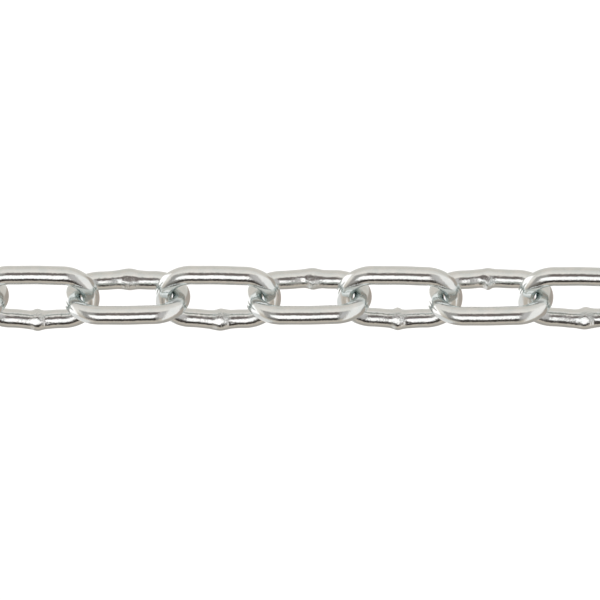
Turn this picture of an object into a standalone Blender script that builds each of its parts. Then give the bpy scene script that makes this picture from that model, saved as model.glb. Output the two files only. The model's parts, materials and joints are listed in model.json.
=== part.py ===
"""One metre of short-link steel chain, drawn out straight on a level floor.

Every link is one bent and welded piece of round wire. Neighbouring links stand at right angles
to each other, each lying on its welded leg at about 45 degrees. All lengths are in metres, +Z is
up, the chain runs along X and the origin is under the middle of the chain, on the floor.
"""

import math

import bpy

# Driving dimensions
WIRE = 0.00387
PITCH = 0.019
OUTER_LENGTH = 0.0266
OUTER_WIDTH = 0.01584
LINK_COUNT = 53

# The wire's section is an octagon with the round wire's area. It is made a little larger at the
# bends, where the corners of the polygon squeeze it.
SIDES = 8
SECTION_RADIUS = WIRE / 2 * math.sqrt(2 * math.pi / (SIDES * math.sin(2 * math.pi / SIDES)))
BEND_ALLOWANCE = 1.02
BEND_RADIUS = SECTION_RADIUS * BEND_ALLOWANCE
BEND_SEGMENTS = 5

# The weld is a thick ring around the middle of one leg, which is bowed out a little there.
WELD_SWELL = 0.00042
WELD_LENGTH = 0.0016
WELD_TAPER = 0.0011
WELD_BOW = 0.0004

# The chain is twisted slowly to and fro, which turns each link a few degrees off 45. The twist
# comes round again every TWIST_LINKS links.
LEAN = math.radians(45)
TWIST = math.radians(6.4)
TWIST_LINKS = 32
MOST_TWISTED_LINK = -3

# How far one link can sink inside its neighbours
PLAY = 0.0005

CHAIN_NAME = "chain"
ZINC_COLOUR = (0.60, 0.59, 0.57, 1.0)
ZINC_ROUGHNESS = 0.3


def zinc():
    """Bright zinc plating on steel."""
    material = bpy.data.materials.new("zinc_plated_steel")
    material.use_nodes = True
    shader = material.node_tree.nodes["Principled BSDF"]
    shader.inputs["Base Color"].default_value = ZINC_COLOUR
    shader.inputs["Metallic"].default_value = 1.0
    shader.inputs["Roughness"].default_value = ZINC_ROUGHNESS
    return material


def bend(side):
    """(x, y, section radius) along the round end at +X or -X, from one leg to the other."""
    half_width = (OUTER_WIDTH - WIRE) / 2
    half_step = math.pi / BEND_SEGMENTS / 2
    tip = OUTER_LENGTH / 2 - BEND_RADIUS * math.cos(math.pi / SIDES) * math.cos(half_step)
    points = []
    for step in range(BEND_SEGMENTS + 1):
        angle = -math.pi / 2 + step * 2 * half_step
        # The tip is a flat stretch of the polygon, so the points lie a little outside the arc.
        x = tip - half_width + half_width * math.cos(angle) / math.cos(half_step)
        y = half_width * math.sin(angle)
        on_leg = step in (0, BEND_SEGMENTS)
        points.append((side * x, side * y, SECTION_RADIUS if on_leg else BEND_RADIUS))
    return points


def weld():
    """(x, y, section radius) along the weld, from -X to +X."""
    y = -(OUTER_WIDTH - WIRE) / 2 - WELD_BOW
    outer = WELD_LENGTH / 2 + WELD_TAPER
    inner = WELD_LENGTH / 2
    swollen = SECTION_RADIUS + WELD_SWELL
    return [
        (-outer, y, SECTION_RADIUS),
        (-inner, y, swollen),
        (inner, y, swollen),
        (outer, y, SECTION_RADIUS),
    ]


def link_curve():
    """A closed run of wire in the XY plane, with its weld on the -Y leg."""
    curve = bpy.data.curves.new("link", "CURVE")
    curve.dimensions = "3D"
    curve.twist_mode = "Z_UP"
    curve.bevel_depth = 1.0
    curve.bevel_resolution = SIDES // 4
    points = bend(1) + bend(-1) + weld()
    spline = curve.splines.new("POLY")
    spline.points.add(len(points) - 1)
    for point, (x, y, radius) in zip(spline.points, points):
        point.co = (x, y, 0.0, 1.0)
        point.radius = radius
        # This turns the octagon so that its flats, and not its corners, face in and out.
        point.tilt = math.pi / SIDES
    spline.use_cyclic_u = True
    return curve


def twist(number):
    """How far a link, counted from 0 at the middle of the chain, is turned from 45 degrees."""
    return TWIST * math.cos(2 * math.pi * (number - MOST_TWISTED_LINK) / TWIST_LINKS)


def lean(number):
    """The turn of a link about X."""
    quarter_turn = math.pi / 2 * (number % 2 == 0)
    return LEAN - twist(number) + quarter_turn


def height(number):
    """The height of a link's centre above the floor.

    Of two neighbours, one stands a little steeper. It rests on the floor, and the other sinks
    towards the floor as far as the play between their wires lets it.
    """
    leg = (OUTER_WIDTH - WIRE) / 2 + WELD_BOW
    section = (SECTION_RADIUS + WELD_SWELL) * math.cos(math.pi / SIDES - abs(twist(number)))
    steeper = leg * math.sin(LEAN + abs(twist(number)))
    own = leg * math.sin(lean(number))
    return section + max(own, steeper - PLAY)


def add_link(number, curve, collection):
    """One link, in its place along the chain."""
    name =f"link_{number + LINK_COUNT // 2 + 1:02d}"
    link = bpy.data.objects.new(name, curve)
    link.location = (number * PITCH, 0.0, height(number))
    link.rotation_euler.x = lean(number)
    collection.objects.link(link)


def main():
    for startup in list(bpy.data.objects):
        bpy.data.objects.remove(startup)
    collection = bpy.data.collections.new(CHAIN_NAME)
    bpy.context.scene.collection.children.link(collection)
    curve = link_curve()
    curve.materials.append(zinc())
    outermost = LINK_COUNT // 2
    for number in range(-outermost, outermost + 1):
        add_link(number, curve, collection)


main()
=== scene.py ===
"""The looks of one metre of zinc-plated short-link chain, drawn out straight on a white ground.

Every link of the frame is replaced by a finely modelled ring of wire with its butt weld. Lengths
are in metres unless a name ends in _MM. The camera looks straight down on the middle of the chain.
"""

import json
import math
from collections import namedtuple

import bpy
import numpy as np
from mathutils import Matrix, Vector, noise

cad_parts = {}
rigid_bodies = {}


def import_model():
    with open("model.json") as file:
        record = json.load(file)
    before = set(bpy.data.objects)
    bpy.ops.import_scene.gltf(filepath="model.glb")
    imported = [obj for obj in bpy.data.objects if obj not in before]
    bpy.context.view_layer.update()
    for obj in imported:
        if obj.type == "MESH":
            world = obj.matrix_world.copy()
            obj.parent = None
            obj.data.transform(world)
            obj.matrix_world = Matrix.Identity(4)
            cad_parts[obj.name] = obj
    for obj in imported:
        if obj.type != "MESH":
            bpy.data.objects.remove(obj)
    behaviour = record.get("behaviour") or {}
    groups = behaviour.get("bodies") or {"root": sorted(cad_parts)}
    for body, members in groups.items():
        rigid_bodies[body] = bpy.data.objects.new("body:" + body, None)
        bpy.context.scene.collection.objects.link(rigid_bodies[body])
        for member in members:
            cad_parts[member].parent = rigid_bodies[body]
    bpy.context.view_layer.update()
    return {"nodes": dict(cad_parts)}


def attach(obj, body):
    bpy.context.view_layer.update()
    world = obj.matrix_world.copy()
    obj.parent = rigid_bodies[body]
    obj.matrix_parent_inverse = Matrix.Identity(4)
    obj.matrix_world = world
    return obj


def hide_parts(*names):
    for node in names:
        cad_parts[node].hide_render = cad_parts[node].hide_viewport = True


MM = 0.001

# The wire and the ring it is bent into
WIRE_MM = 3.93
END_WIRE_MM = 3.70
OUTER_LENGTH_MM = 26.6
OUTER_WIDTH_MM = 15.84
PLAIN_LEG_BOW_MM = 0.1
WELDED_LEG_BOW_MM = 0.42
WELDED_LEG_OUT_MM = 0.15

# The slight unevenness of drawn and bent wire: its height, and how fine it is along and across
UNEVENNESS_MM = 0.026
UNEVEN_ALONG = 0.2
UNEVEN_ACROSS = 0.3

# How finely the wire is divided: its sides, and the rings along each stretch of it
SIDES = 54
BEND_RINGS = 40
PLAIN_LEG_RINGS = 14
WELD_RINGS = 66
WELD_LEG_END_RINGS = 3

# How far the weld reaches along the wire, and over what length it fades out there
WELD_REACH_MM = 4.0
WELD_FADE_MM = 0.4

# The welds of the photographed links: the distance off the middle of the leg, how far the collar
# stands out on the outside and on the inside of the link, and how wide it is against COLLAR_MM
Weld = namedtuple("Weld", "place_mm outer_mm inner_mm width")
WELDS = {
    24: Weld(0.2, 0.30, 0.42, 0.9),
    25: Weld(0.5, 0.34, 0.40, 1.3),
    26: Weld(0.8, 0.28, 0.50, 1.1),
    27: Weld(1.05, 0.26, 0.44, 1.0),
    28: Weld(-0.2, 0.26, 0.56, 0.75),
    29: Weld(-0.3, 0.08, 0.66, 0.8),
    30: Weld(1.3, 0.30, 0.52, 1.1),
}
# The usual weld, and how much it varies from link to link
USUAL_WELD = Weld(0.0, 0.28, 0.50, 1.0)
WELD_VARIATION = Weld(1.0, 0.2, 0.2, 0.4)

# The collar's half-width, its height on the side that the link rests on, the share of its height
# that is left on the seen side, and the half-width of the plateau that takes its place there
COLLAR_MM = 1.2
RESTING_HEIGHT_MM = 0.42
SEEN_HEIGHT_SHARE = 0.12
PLATEAU_MM = 1.35

# The weld's bumps, and its crumbs and streaks: how high and how fine they are
BUMP_MM = 0.09
BUMP_REACH_MM = 2.6
BUMP_SCALE = 0.55
CRUMB_MM = 0.07
CRUMB_SCALE = 2.2
STREAK_SCALES = (0.55, 2.0)

# The crumbs and streaks fill a stretch of the leg, though only weakly outside the crumbly side.
# Even links have a patch of spatter too. Each stretch has its middle and its half-length.
CRUMBLY_STRETCH_MM = (0.4, 1.9)
CRUMBLY_ALL_ROUND = 0.08
SPATTER_STRETCH_MM = (1.1, 0.7)
SPATTER = 0.8

# The seam where the two ends meet, and the edge that the clamps left: how far off the middle of
# the weld each is, its depth or height, and its half-width
SEAM_OFF_MM = 0.9
SEAM_DEPTH_MM = 0.03
SEAM_MM = 0.16
SEAM_ALL_ROUND = 0.3
EDGE_OFF_MM = -1.6
EDGE_HEIGHT_MM = 0.022
EDGE_MM = 0.18

# Sides of the welded leg, each by its middle and its width in degrees round the wire: 0 is the
# outside of the link, 90 faces up and 180 is the inside
SEEN_SIDE = (120, 45)
RESTING_SIDE = (-45, 40)
CRUMBLY_SIDE = (172, 34)
SPATTERED_SIDE = (130, 30)
SEAM_SIDE = (180, 60)
EDGE_SIDE = (130, 50)

# What the clamps left, on even and on odd links: the height of the plateau on the seen side, the
# flat that is pressed into it, and the flat that is pressed into the wire beside it
Flat = namedtuple("Flat", "facing middle_mm half_length_mm depth_mm")
PLATEAU_HEIGHTS_MM = (0.20, 0.10)
PLATEAU_FLATS = (Flat(119, -0.5, 1.1, 0.065), Flat(134, 0.1, 2.0, 0.065))
WIRE_FLATS = (Flat(105, 2.4, 0.9, 0.05), Flat(146, -2.8, 1.2, 0.06))

# How far a flat reaches to each side, in degrees round the wire, how rounded its edges are, and
# the depth from which on it is fully formed
FLAT_WIDTH = 60
FLAT_ROUNDING_MM = 0.006
FLAT_START_MM = 0.01

# How the photographed links lie out of the straight line: a turn in degrees, seen from above, and
# a shift in mm
LIES = {
    24: (-0.6, -0.04),
    25: (0.6, -0.06),
    26: (-1.0, -0.03),
    27: (0.8, 0.02),
    28: (-1.1, 0.0),
    29: (0.8, -0.03),
    30: (-0.7, -0.06),
}
# The usual turn, to alternate sides, and how much the turn and the shift vary
USUAL_TURN = 0.7
TURN_VARIATION = 0.4
SHIFT_VARIATION_MM = 0.08

# The zinc's colours and its roughness, to which grain and crumbs add
ZINC_DARK = (0.69, 0.74, 0.74)
ZINC_LIGHT = (0.75, 0.78, 0.775)
TINT_SCALE = 0.5
ROUGHNESS = 0.09
GRAIN_ROUGHNESS = 0.06
CRUMB_ROUGHNESS = 0.08

# The zinc's fine relief: how fine its ripples, die lines, grain and crumbs are, how the die lines
# are drawn out along the wire, the height of the ripples, and the others' share of that height
RIPPLE_SCALE = 2.4
DIE_LINE_SCALE = 3.2
DIE_LINE_STRETCH = (0.10, 1.0, 1.0)
GRAIN_SCALE = 5.0
FINE_CRUMB_SCALE = 3.4
FINE_RELIEF_MM = 0.022
DIE_LINE_SHARE = 0.35
GRAIN_SHARE = 0.5
FINE_CRUMB_SHARE = 5.0

# The strength of this relief, apart from the crumbs: midway between the legs, the difference that
# either leg makes, and the loss on the round ends, which begin at BEND_START, a share of half a
# link's length. The die lines fade out DIE_LINE_GAP_MM from the weld.
RELIEF_STRENGTH = 1.05
LEG_DIFFERENCE = 0.2
BEND_LOSS = 0.75
BEND_START = 0.42
DIE_LINE_GAP_MM = 2.2

# How far apart the textures of two links are taken, so that no two are alike
TEXTURE_STEP_MM = 97.0

# The camera
VIEW_WIDTH = 0.12624
VIEW_CENTRE = (-0.00175, -0.00060)
CAMERA_DISTANCE = 1.5
CAMERA_REACH = 1000.0
SENSOR_MM = 36.0

# The white floor, deep enough below the chain that no swinging link sinks into it, because the
# chain lies as on a sheet of glass above it. It rises into a wall, so that no view shows a horizon,
# and it glows, so that it is white all over.
FLOOR_LEVEL = -0.6
FLOOR_RADIUS = 20.0
WALL_BEND = 6.0
WALL_BEND_RINGS = 9
WALL_HEIGHT = 12.0
WALL_SEGMENTS = 96
FLOOR_GREY = 0.22
FLOOR_GLOW = 0.92

# The links mirror each other, which takes more bounces of light than Blender's usual number
LIGHT_BOUNCES = 16

# The studio is laid out on a flat map of the directions around the chain: straight up is its middle,
# the horizon is the circle of radius 1, and straight down is infinitely far out. +X is its right.
# Backdrop colours by the angle from straight up, towards +Y (positive) or -Y (negative)
BACKDROP = [
    (-180, (0.48, 0.44, 0.40)),
    (-112, (0.48, 0.44, 0.40)),
    (-96, (0.66, 0.57, 0.49)),
    (-60, (0.66, 0.57, 0.49)),
    (0, (1.0, 0.93, 0.86)),
    (45, (1.0, 0.93, 0.87)),
    (70, (0.87, 0.82, 0.78)),
    (90, (0.80, 0.73, 0.67)),
    (105, (0.76, 0.70, 0.64)),
    (180, (0.82, 0.80, 0.76)),
]

# Panels in front of the backdrop: a colour, the softness of the edges, and the edges, each by the
# map direction in degrees that it faces and its distance from the middle of the map
WALL_WHITE = (1.08, 1.03, 1.0)
LAMP_WHITE = (1.45, 1.38, 1.36)
PANELS = [
    # Wall on the right
    (WALL_WHITE, 0.12, [(180, -0.31), (90, 0.40), (0, 0.98), (-45, 0.95)]),
    # Ceiling, its lighter part on the right, its darker middle, and its dark end towards -Y
    ((0.42, 0.39, 0.37), 0.14,
     [(0, 0.29), (90, 0.25), (180, 0.50), (225, 0.72), (270, 0.80), (-45, 0.56)]),
    ((0.62, 0.58, 0.57), 0.16, [(180, -0.12), (0, 0.30), (90, 0.20), (-45, 0.50)]),
    ((0.20, 0.165, 0.155), 0.08, [(0, 0.11), (90, 0.25), (180, 0.13), (270, 0.40)]),
    ((0.22, 0.20, 0.18), 0.16, [(0, 0.14), (90, -0.40), (180, 0.46), (225, 0.68), (270, 0.78)]),
    ((0.055, 0.045, 0.04), 0.08, [(0, 0.10), (90, -0.36), (180, 0.14), (270, 0.76)]),
    # Softbox
    (LAMP_WHITE, 0.08, [(0, 0.085), (90, -0.04), (180, 0.29), (233, 0.38), (-45, 0.29)]),
    # Window on the left, and the lit floor beside it
    (LAMP_WHITE, 0.14, [(0, -0.76), (48, 0.0), (-62, 0.0)]),
    ((0.90, 0.87, 0.85), 0.30, [(50, -0.95), (115, 0.0), (-20, 0.0)]),
    # Shade on the right
    ((0.49, 0.42, 0.37), 0.30, [(180, -1.0), (130, 0.0), (230, 0.0)]),
]


def link_number(name):
    return int(name.split("_")[1])


def link_frame(node):
    """The link's own axes: X along the chain, Y from the welded leg to the plain one, Z across."""
    points = np.array([vertex.co for vertex in node.data.vertices])
    tip = points[points[:, 0] > points[:, 0].max() - 0.01 * MM].mean(0)
    centre = np.array([(points[:, 0].min() + points[:, 0].max()) / 2, tip[1], tip[2]])
    section = points[:, 1:] - points[:, 1:].mean(0)
    across = np.linalg.svd(section, full_matrices=False)[2][0]
    across = across * np.sign(across[1])
    y_axis = Vector((0.0, across[0], across[1]))
    x_axis = Vector((1.0, 0.0, 0.0))
    axes = Matrix((x_axis, y_axis, x_axis.cross(y_axis))).transposed().to_4x4()
    return Matrix.Translation(centre) @ axes


def chance(number, which):
    """A number from about -0.5 to 0.5 that differs from link to link."""
    return noise.noise(Vector((number * 1.7, which * 5.3, 2.5)))


def usual_weld(number):
    """The weld of a link that the photograph doesn't show."""
    return Weld(*(usual + variation * chance(number, which)
                  for which, (usual, variation) in enumerate(zip(USUAL_WELD, WELD_VARIATION))))


def lie(number):
    """The small turn and shift that take a link out of the straight line, about its own middle."""
    side = 1 if number % 2 else -1
    usual = (side * (USUAL_TURN + TURN_VARIATION * chance(number, 4)),
             SHIFT_VARIATION_MM * chance(number, 5))
    turn, shift = LIES.get(number, usual)
    return Matrix.Translation((0.0, shift * MM, 0.0)) @ Matrix.Rotation(math.radians(turn), 4, "Z")


def spread(start, stop, count):
    """count steps from start towards stop, without the last point."""
    return np.linspace(start, stop, count, endpoint=False)


def wire_path(weld_mm):
    """Rows of (x, y, outward x, outward y, wire radius, distance along the wire), in mm.

    The distance is 0 at the middle of the plain leg, and jumps only at the weld, where the two
    ends of the wire meet.
    """
    half = (OUTER_WIDTH_MM - WIRE_MM) / 2
    plain_end = half - PLAIN_LEG_BOW_MM
    welded_end = half + WELDED_LEG_OUT_MM - WELDED_LEG_BOW_MM
    straight = (OUTER_LENGTH_MM - END_WIRE_MM) / 2 - half
    arc = math.pi * half
    rows = []

    def leg(side, start, stop, count):
        """A stretch of the plain leg (side 1) or of the welded one (side -1)."""
        bow, end = (PLAIN_LEG_BOW_MM, plain_end) if side > 0 else (WELDED_LEG_BOW_MM, welded_end)
        for x in spread(start, stop, count):
            turn = math.pi * x / (2 * straight)
            slope = bow * math.sin(2 * turn) * math.pi / (2 * straight)
            length = math.hypot(1, slope)
            along = x
            if side < 0:
                along = (1 if x > weld_mm else -1) * (2 * straight + arc) - x
            rows.append((x, side * (end + bow * math.cos(turn) ** 2), slope / length,
                         side / length, WIRE_MM / 2, along))

    def bend(side, start, stop):
        """The round end at +X (side 1) or -X (side -1)."""
        for turn in spread(start, stop, BEND_RINGS):
            reach = welded_end if math.sin(turn) < 0 else plain_end
            normal = Vector((side * math.cos(turn) / half, math.sin(turn) / reach)).normalized()
            radius = WIRE_MM / 2 - (WIRE_MM - END_WIRE_MM) / 2 * math.cos(turn) ** 2
            along = side * (straight + half * (math.pi / 2 - turn))
            rows.append((side * (straight + half * math.cos(turn)), reach * math.sin(turn),
                         normal.x, normal.y, radius, along))

    leg(-1, weld_mm, weld_mm + WELD_REACH_MM, WELD_RINGS // 2)
    leg(-1, weld_mm + WELD_REACH_MM, straight, WELD_LEG_END_RINGS)
    bend(1, -math.pi / 2, math.pi / 2)
    leg(1, straight, -straight, PLAIN_LEG_RINGS)
    bend(-1, math.pi / 2, -math.pi / 2)
    leg(-1, -straight, weld_mm - WELD_REACH_MM, WELD_LEG_END_RINGS)
    leg(-1, weld_mm - WELD_REACH_MM, weld_mm, WELD_RINGS // 2)
    return np.array(rows)


def bell(x, width):
    """1 where x is 0, falling smoothly to 0 on both sides."""
    return math.exp(-((x / width) ** 2))


def mesa(x, width):
    """1 around 0 with a flat top, falling more steeply than a bell on both sides."""
    return math.exp(-((x / width) ** 4))


def angle_from(middle, angle):
    """How far an angle in radians is from a middle in degrees: -180 to 180 degrees."""
    return (math.degrees(angle) - middle + 180) % 360 - 180


def on_side(angle, middle, width):
    """1 in the middle of a side of the wire, falling to 0 around it."""
    return bell(angle_from(middle, angle), width)


def pressed(relief, off, angle, flat, level):
    """The relief after a flat has been pressed into it at a level above the wire, in mm."""
    turn = angle_from(flat.facing, angle)
    if abs(turn) > FLAT_WIDTH:
        return relief
    sink = flat.depth_mm * max(0.0, 1 - ((off - flat.middle_mm) / flat.half_length_mm) ** 2)
    limit = (WIRE_MM / 2 + level - sink) / math.cos(math.radians(turn)) - WIRE_MM / 2
    over = relief - limit
    cut = (over + math.hypot(over, FLAT_ROUNDING_MM)) / 2
    return relief - cut * min(1.0, sink / FLAT_START_MM)


def crumbly(off, angle, number):
    """How rough the weld is at a place, from 0 to about 1: most on the inside of the link."""
    middle, reach = CRUMBLY_STRETCH_MM
    side = CRUMBLY_ALL_ROUND + (1 - CRUMBLY_ALL_ROUND) * on_side(angle, *CRUMBLY_SIDE)
    rough = mesa(off - middle, reach) * side
    if number % 2 == 0:
        middle, reach = SPATTER_STRETCH_MM
        rough += SPATTER * bell(off - middle, reach) * on_side(angle, *SPATTERED_SIDE)
    return rough


def weld_relief(off, angle, number, weld):
    """How far the weld stands out of the wire, in mm, at a distance off its middle and an angle."""
    kind = number % 2

    def collar(at):
        seen = on_side(at, *SEEN_SIDE)
        inward = 0.5 - 0.5 * math.cos(at)
        height = weld.outer_mm + (weld.inner_mm - weld.outer_mm) * inward
        height += (RESTING_HEIGHT_MM - height) * on_side(at, *RESTING_SIDE)
        height *= 1 - (1 - SEEN_HEIGHT_SHARE) * seen
        ridge = height * bell(off, COLLAR_MM * weld.width)
        return ridge + PLATEAU_HEIGHTS_MM[kind] * seen * mesa(off, PLATEAU_MM)

    spot = Vector((off, math.cos(angle) * WIRE_MM / 2, math.sin(angle) * WIRE_MM / 2))
    shift = Vector((number * 7.3, number * 3.1, -number * 5.7))
    arc = angle * WIRE_MM / 2
    bumps = BUMP_MM * noise.noise(spot * BUMP_SCALE + shift) * mesa(off, BUMP_REACH_MM)
    streaks = noise.noise(Vector(((off + arc) * STREAK_SCALES[0], (off - arc) * STREAK_SCALES[1],
                                  number * 1.9)))
    crumbs = noise.noise(spot * CRUMB_SCALE + 2 * shift)
    relief = collar(angle) + bumps
    relief += CRUMB_MM * (streaks + crumbs) * crumbly(off, angle, number)
    plateau_flat = PLATEAU_FLATS[kind]
    plateau_level = collar(math.radians(plateau_flat.facing))
    relief = pressed(relief, off, angle, plateau_flat, plateau_level)
    relief = pressed(relief, off, angle, WIRE_FLATS[kind], 0.0)
    wave = 0.5 * noise.noise(Vector((math.cos(angle), math.sin(angle), number)) * 1.3)
    seam = SEAM_DEPTH_MM * bell(off - SEAM_OFF_MM - wave, SEAM_MM)
    seam *= SEAM_ALL_ROUND + (1 - SEAM_ALL_ROUND) * on_side(angle, *SEAM_SIDE)
    edge = EDGE_HEIGHT_MM * bell(off - EDGE_OFF_MM - 0.3 * wave, EDGE_MM)
    edge *= on_side(angle, *EDGE_SIDE)
    return relief - seam + edge


def unevenness(place, number):
    """The slight unevenness of drawn and bent wire, in mm, at a place on the straightened wire."""
    along, out, up = place
    start = (number + 0.5) * 11
    return UNEVENNESS_MM * noise.noise(Vector((along * UNEVEN_ALONG + start, out * UNEVEN_ACROSS,
                                               up * UNEVEN_ACROSS)))


def wire_relief(places, off, angles, number, weld):
    """How far the surface lies outside a plain round wire, in mm, and how crumbly it is there."""
    # The side that faces up is at 90 degrees round the wire of even links, at -90 on odd ones
    upper = 1 if number % 2 == 0 else -1
    lift = np.zeros(places.shape[:2])
    rough = np.zeros(places.shape[:2])
    for ring in range(len(places)):
        fade = 1 - bell(max(0.0, WELD_REACH_MM - abs(off[ring])), WELD_FADE_MM)
        for side, angle in enumerate(angles):
            lift[ring, side] = unevenness(places[ring, side], number)
            if fade > 0:
                lift[ring, side] += fade * weld_relief(off[ring], upper * angle, number, weld)
                rough[ring, side] = crumbly(off[ring], upper * angle, number)
    return lift, rough


def tube_faces(rings):
    """The faces of a closed tube whose points go round each ring in turn."""
    ring, side = np.meshgrid(np.arange(rings), np.arange(SIDES), indexing="ij")
    next_ring, next_side = (ring + 1) % rings, (side + 1) % SIDES
    corners = [ring * SIDES + side, next_ring * SIDES + side,
               next_ring * SIDES + next_side, ring * SIDES + next_side]
    return np.stack(corners, -1).reshape(-1, 4).tolist()


def link_mesh(name, number):
    """The ring of wire of one link, in its own axes, the weld on its -Y leg.

    For the material, each point also has its place on the straightened wire, its place on the
    link, and its surface: how near the weld it is, how crumbly, and how uneven.
    """
    weld = WELDS.get(number) or usual_weld(number)
    path = wire_path(weld.place_mm)
    x, y, out_x, out_y, radius, along = (path[:, k:k + 1] for k in range(6))
    angles = spread(0.0, 2 * math.pi, SIDES)
    places = np.stack([np.repeat(along, SIDES, 1), radius * np.cos(angles),
                       radius * np.sin(angles)], -1)
    off = np.where(y[:, 0] < 0, x[:, 0] - weld.place_mm, 2 * WELD_REACH_MM)
    lift, rough = wire_relief(places, off, angles, number, weld)
    flat = np.cos(angles) * (radius + lift)
    upright = np.sin(angles) * (radius + lift)
    points = np.stack([x + out_x * flat, y + out_y * flat, upright], -1)
    mesh = bpy.data.meshes.new(name)
    mesh.from_pydata((points * MM).reshape(-1, 3).tolist(), [], tube_faces(len(path)))
    mesh.update()
    mesh.shade_smooth()
    own_texture = (TEXTURE_STEP_MM * number, 0.0, 0.0)
    tip = np.abs(x).max()
    bent = np.clip((np.abs(x) - BEND_START * tip) / ((1 - BEND_START) * tip), 0, 1)
    uneven = RELIEF_STRENGTH - LEG_DIFFERENCE * y / np.abs(y).max() - BEND_LOSS * bent ** 2
    near_weld = np.exp(-((off[:, None] / DIE_LINE_GAP_MM) ** 2))
    surface = np.stack([np.repeat(near_weld, SIDES, 1), rough, np.repeat(uneven, SIDES, 1)], -1)
    named = (("wire_place", places + own_texture), ("spot", points + own_texture),
             ("surface", surface))
    for title, values in named:
        attribute = mesh.attributes.new(title, "FLOAT_VECTOR", "POINT")
        attribute.data.foreach_set("vector", values.astype(np.float32).ravel())
    return mesh


class Nodes:
    """A short way to write a node tree."""

    def __init__(self, tree):
        self.tree = tree
        tree.nodes.clear()

    def put(self, value, socket):
        """Sets a socket to a plain value, or links another socket to it."""
        if isinstance(value, bpy.types.NodeSocket):
            self.tree.links.new(value, socket)
        else:
            socket.default_value = value

    def add(self, kind, **settings):
        """A node; a setting that it has no property for is an input, with _ for each space."""
        node = self.tree.nodes.new(kind)
        for key, value in settings.items():
            if hasattr(node, key):
                setattr(node, key, value)
            else:
                self.put(value, node.inputs[key.replace("_", " ")])
        return node

    def attribute(self, name):
        return self.add("ShaderNodeAttribute", attribute_name=name).outputs["Vector"]

    def math(self, operation, *values):
        node = self.add("ShaderNodeMath", operation=operation)
        for value, socket in zip(values, node.inputs):
            self.put(value, socket)
        return node.outputs[0]

    def noise(self, vector, scale, detail):
        node = self.add("ShaderNodeTexNoise", Vector=vector, Scale=scale, Detail=detail)
        return node.outputs["Fac"]

    def ramp(self, value, stops):
        node = self.add("ShaderNodeValToRGB", Fac=value)
        elements = node.color_ramp.elements
        elements.remove(elements[0])
        for index, (place, colour) in enumerate(stops):
            element = elements[0] if index == 0 else elements.new(place)
            element.position = place
            element.color = (*colour, 1.0)
        return node.outputs["Color"]

    def mix(self, share, one, other):
        node = self.add("ShaderNodeMix", data_type="RGBA")
        colour_a, colour_b = node.inputs[6], node.inputs[7]
        self.put(share, node.inputs["Factor"])
        self.put(one, colour_a)
        self.put(other, colour_b)
        return node.outputs[2]


def zinc_material():
    material = bpy.data.materials.new("zinc_plating")
    material.use_nodes = True
    nodes = Nodes(material.node_tree)
    place = nodes.attribute("wire_place")
    spot = nodes.attribute("spot")
    split = nodes.add("ShaderNodeSeparateXYZ", Vector=nodes.attribute("surface"))
    near_weld, crumbly_part, uneven = split.outputs
    stretched = nodes.add("ShaderNodeVectorMath", operation="MULTIPLY")
    nodes.put(place, stretched.inputs[0])
    nodes.put(DIE_LINE_STRETCH, stretched.inputs[1])
    off_weld = nodes.math("SUBTRACT", 1.0, near_weld)
    die_lines = nodes.noise(stretched.outputs[0], DIE_LINE_SCALE, detail=3.0)
    die_lines = nodes.math("MULTIPLY", die_lines, off_weld)
    ripples = nodes.noise(spot, RIPPLE_SCALE, detail=1.0)
    grain = nodes.noise(spot, GRAIN_SCALE, detail=2.0)
    crumbs = nodes.noise(spot, FINE_CRUMB_SCALE, detail=2.0)
    crumbs = nodes.math("MULTIPLY", crumbs, crumbly_part)
    height = nodes.math("MULTIPLY_ADD", die_lines, DIE_LINE_SHARE, ripples)
    height = nodes.math("MULTIPLY_ADD", grain, GRAIN_SHARE, height)
    height = nodes.math("MULTIPLY", height, uneven)
    height = nodes.math("MULTIPLY_ADD", crumbs, FINE_CRUMB_SHARE, height)
    bump = nodes.add("ShaderNodeBump", Strength=1.0, Distance=FINE_RELIEF_MM * MM, Height=height)
    tint = nodes.noise(spot, TINT_SCALE, detail=2.0)
    colour = nodes.ramp(tint, [(0.35, ZINC_DARK), (0.65, ZINC_LIGHT)])
    rough = nodes.math("MULTIPLY_ADD", grain, GRAIN_ROUGHNESS, ROUGHNESS)
    rough = nodes.math("MULTIPLY_ADD", crumbly_part, CRUMB_ROUGHNESS, rough)
    shader = nodes.add("ShaderNodeBsdfPrincipled", Metallic=1.0, Base_Color=colour, Roughness=rough,
                       Normal=bump.outputs["Normal"])
    nodes.add("ShaderNodeOutputMaterial", Surface=shader.outputs["BSDF"])
    return material


def build_links(material):
    for name, node in frame["nodes"].items():
        number = link_number(name)
        mesh = link_mesh(f"wire_{number:02d}", number)
        own = link_frame(node)
        middle = Matrix.Translation(own.translation)
        mesh.transform(middle @ lie(number) @ middle.inverted() @ own)
        mesh.materials.append(material)
        piece = bpy.data.objects.new(f"wire_{number:02d}", mesh)
        bpy.context.scene.collection.objects.link(piece)
        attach(piece, name)
        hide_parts(name)


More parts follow.
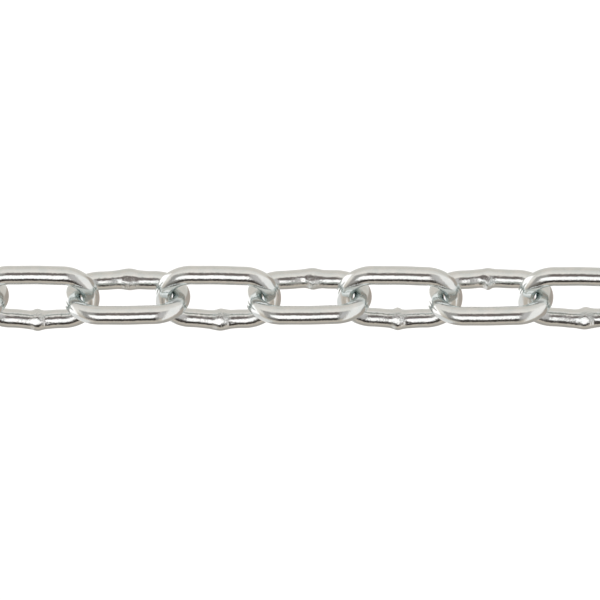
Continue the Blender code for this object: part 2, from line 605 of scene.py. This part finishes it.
def build_world():
    world = bpy.data.worlds.new("studio")
    bpy.context.scene.world = world
    world.use_nodes = True
    nodes = Nodes(world.node_tree)
    direction = nodes.add("ShaderNodeTexCoord").outputs["Generated"]
    x, y, z = nodes.add("ShaderNodeSeparateXYZ", Vector=direction).outputs
    turn = nodes.math("MULTIPLY_ADD", nodes.math("ARCTAN2", y, z), 1 / (2 * math.pi), 0.5)
    lit = nodes.ramp(turn, [(0.5 + degrees / 360, colour) for degrees, colour in BACKDROP])
    reach = nodes.math("MAXIMUM", nodes.math("ADD", z, 1.0), 0.001)
    map_x = nodes.math("DIVIDE", x, reach)
    map_y = nodes.math("DIVIDE", y, reach)
    for colour, softness, edges in PANELS:
        inside = 10.0
        for facing, distance in edges:
            facing = math.radians(facing)
            room = nodes.math("MULTIPLY_ADD", map_x, -math.cos(facing), distance)
            room = nodes.math("MULTIPLY_ADD", map_y, -math.sin(facing), room)
            inside = nodes.math("MINIMUM", room, inside)
        step = nodes.add("ShaderNodeMapRange", interpolation_type="SMOOTHSTEP", Value=inside,
                         From_Min=-softness / 2, From_Max=softness / 2)
        lit = nodes.mix(step.outputs["Result"], lit, (*colour, 1.0))
    background = nodes.add("ShaderNodeBackground", Color=lit, Strength=1.0)
    nodes.add("ShaderNodeOutputWorld", Surface=background.outputs[0])


def floor_mesh():
    """A flat disc whose rim bends up into a round wall."""
    profile = [(FLOOR_RADIUS + WALL_BEND * math.sin(turn),
                FLOOR_LEVEL + WALL_BEND * (1 - math.cos(turn)))
               for turn in np.linspace(0, math.pi / 2, WALL_BEND_RINGS)]
    profile.append((FLOOR_RADIUS + WALL_BEND, FLOOR_LEVEL + WALL_HEIGHT))
    points = [(0.0, 0.0, FLOOR_LEVEL)]
    points += [(radius * math.cos(turn), radius * math.sin(turn), height)
               for radius, height in profile for turn in spread(0.0, 2 * math.pi, WALL_SEGMENTS)]
    after = [(side + 1) % WALL_SEGMENTS for side in range(WALL_SEGMENTS)]
    faces = [(0, 1 + side, 1 + after[side]) for side in range(WALL_SEGMENTS)]
    for ring in range(len(profile) - 1):
        low = 1 + ring * WALL_SEGMENTS
        high = low + WALL_SEGMENTS
        faces += [(low + side, high + side, high + after[side], low + after[side])
                  for side in range(WALL_SEGMENTS)]
    mesh = bpy.data.meshes.new("floor")
    mesh.from_pydata(points, [], faces)
    mesh.update()
    mesh.shade_smooth()
    return mesh


def build_floor():
    floor = bpy.data.objects.new("floor", floor_mesh())
    bpy.context.scene.collection.objects.link(floor)
    material = bpy.data.materials.new("pale_floor")
    material.use_nodes = True
    shader = material.node_tree.nodes["Principled BSDF"]
    shader.inputs["Base Color"].default_value = (FLOOR_GREY, FLOOR_GREY, FLOOR_GREY, 1.0)
    shader.inputs["Emission Color"].default_value = (1.0, 1.0, 1.0, 1.0)
    shader.inputs["Emission Strength"].default_value = FLOOR_GLOW
    shader.inputs["Roughness"].default_value = 0.9
    shader.inputs["Specular IOR Level"].default_value = 0.0
    floor.data.materials.append(material)
    # The links mirror the studio's own colours, not this floor
    floor.visible_glossy = False


def build_camera():
    data = bpy.data.cameras.new("camera")
    data.sensor_width = SENSOR_MM
    data.lens = SENSOR_MM * CAMERA_DISTANCE / VIEW_WIDTH
    data.clip_end = CAMERA_REACH
    camera = bpy.data.objects.new("camera", data)
    camera.location = (*VIEW_CENTRE, CAMERA_DISTANCE)
    bpy.context.scene.collection.objects.link(camera)
    bpy.context.scene.camera = camera


for startup in list(bpy.data.objects):
    bpy.data.objects.remove(startup)
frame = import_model()
bpy.context.scene.view_settings.view_transform = "Standard"
bpy.context.scene.cycles.max_bounces = LIGHT_BOUNCES
bpy.context.scene.cycles.glossy_bounces = LIGHT_BOUNCES
build_camera()
build_links(zinc_material())
build_world()
build_floor()
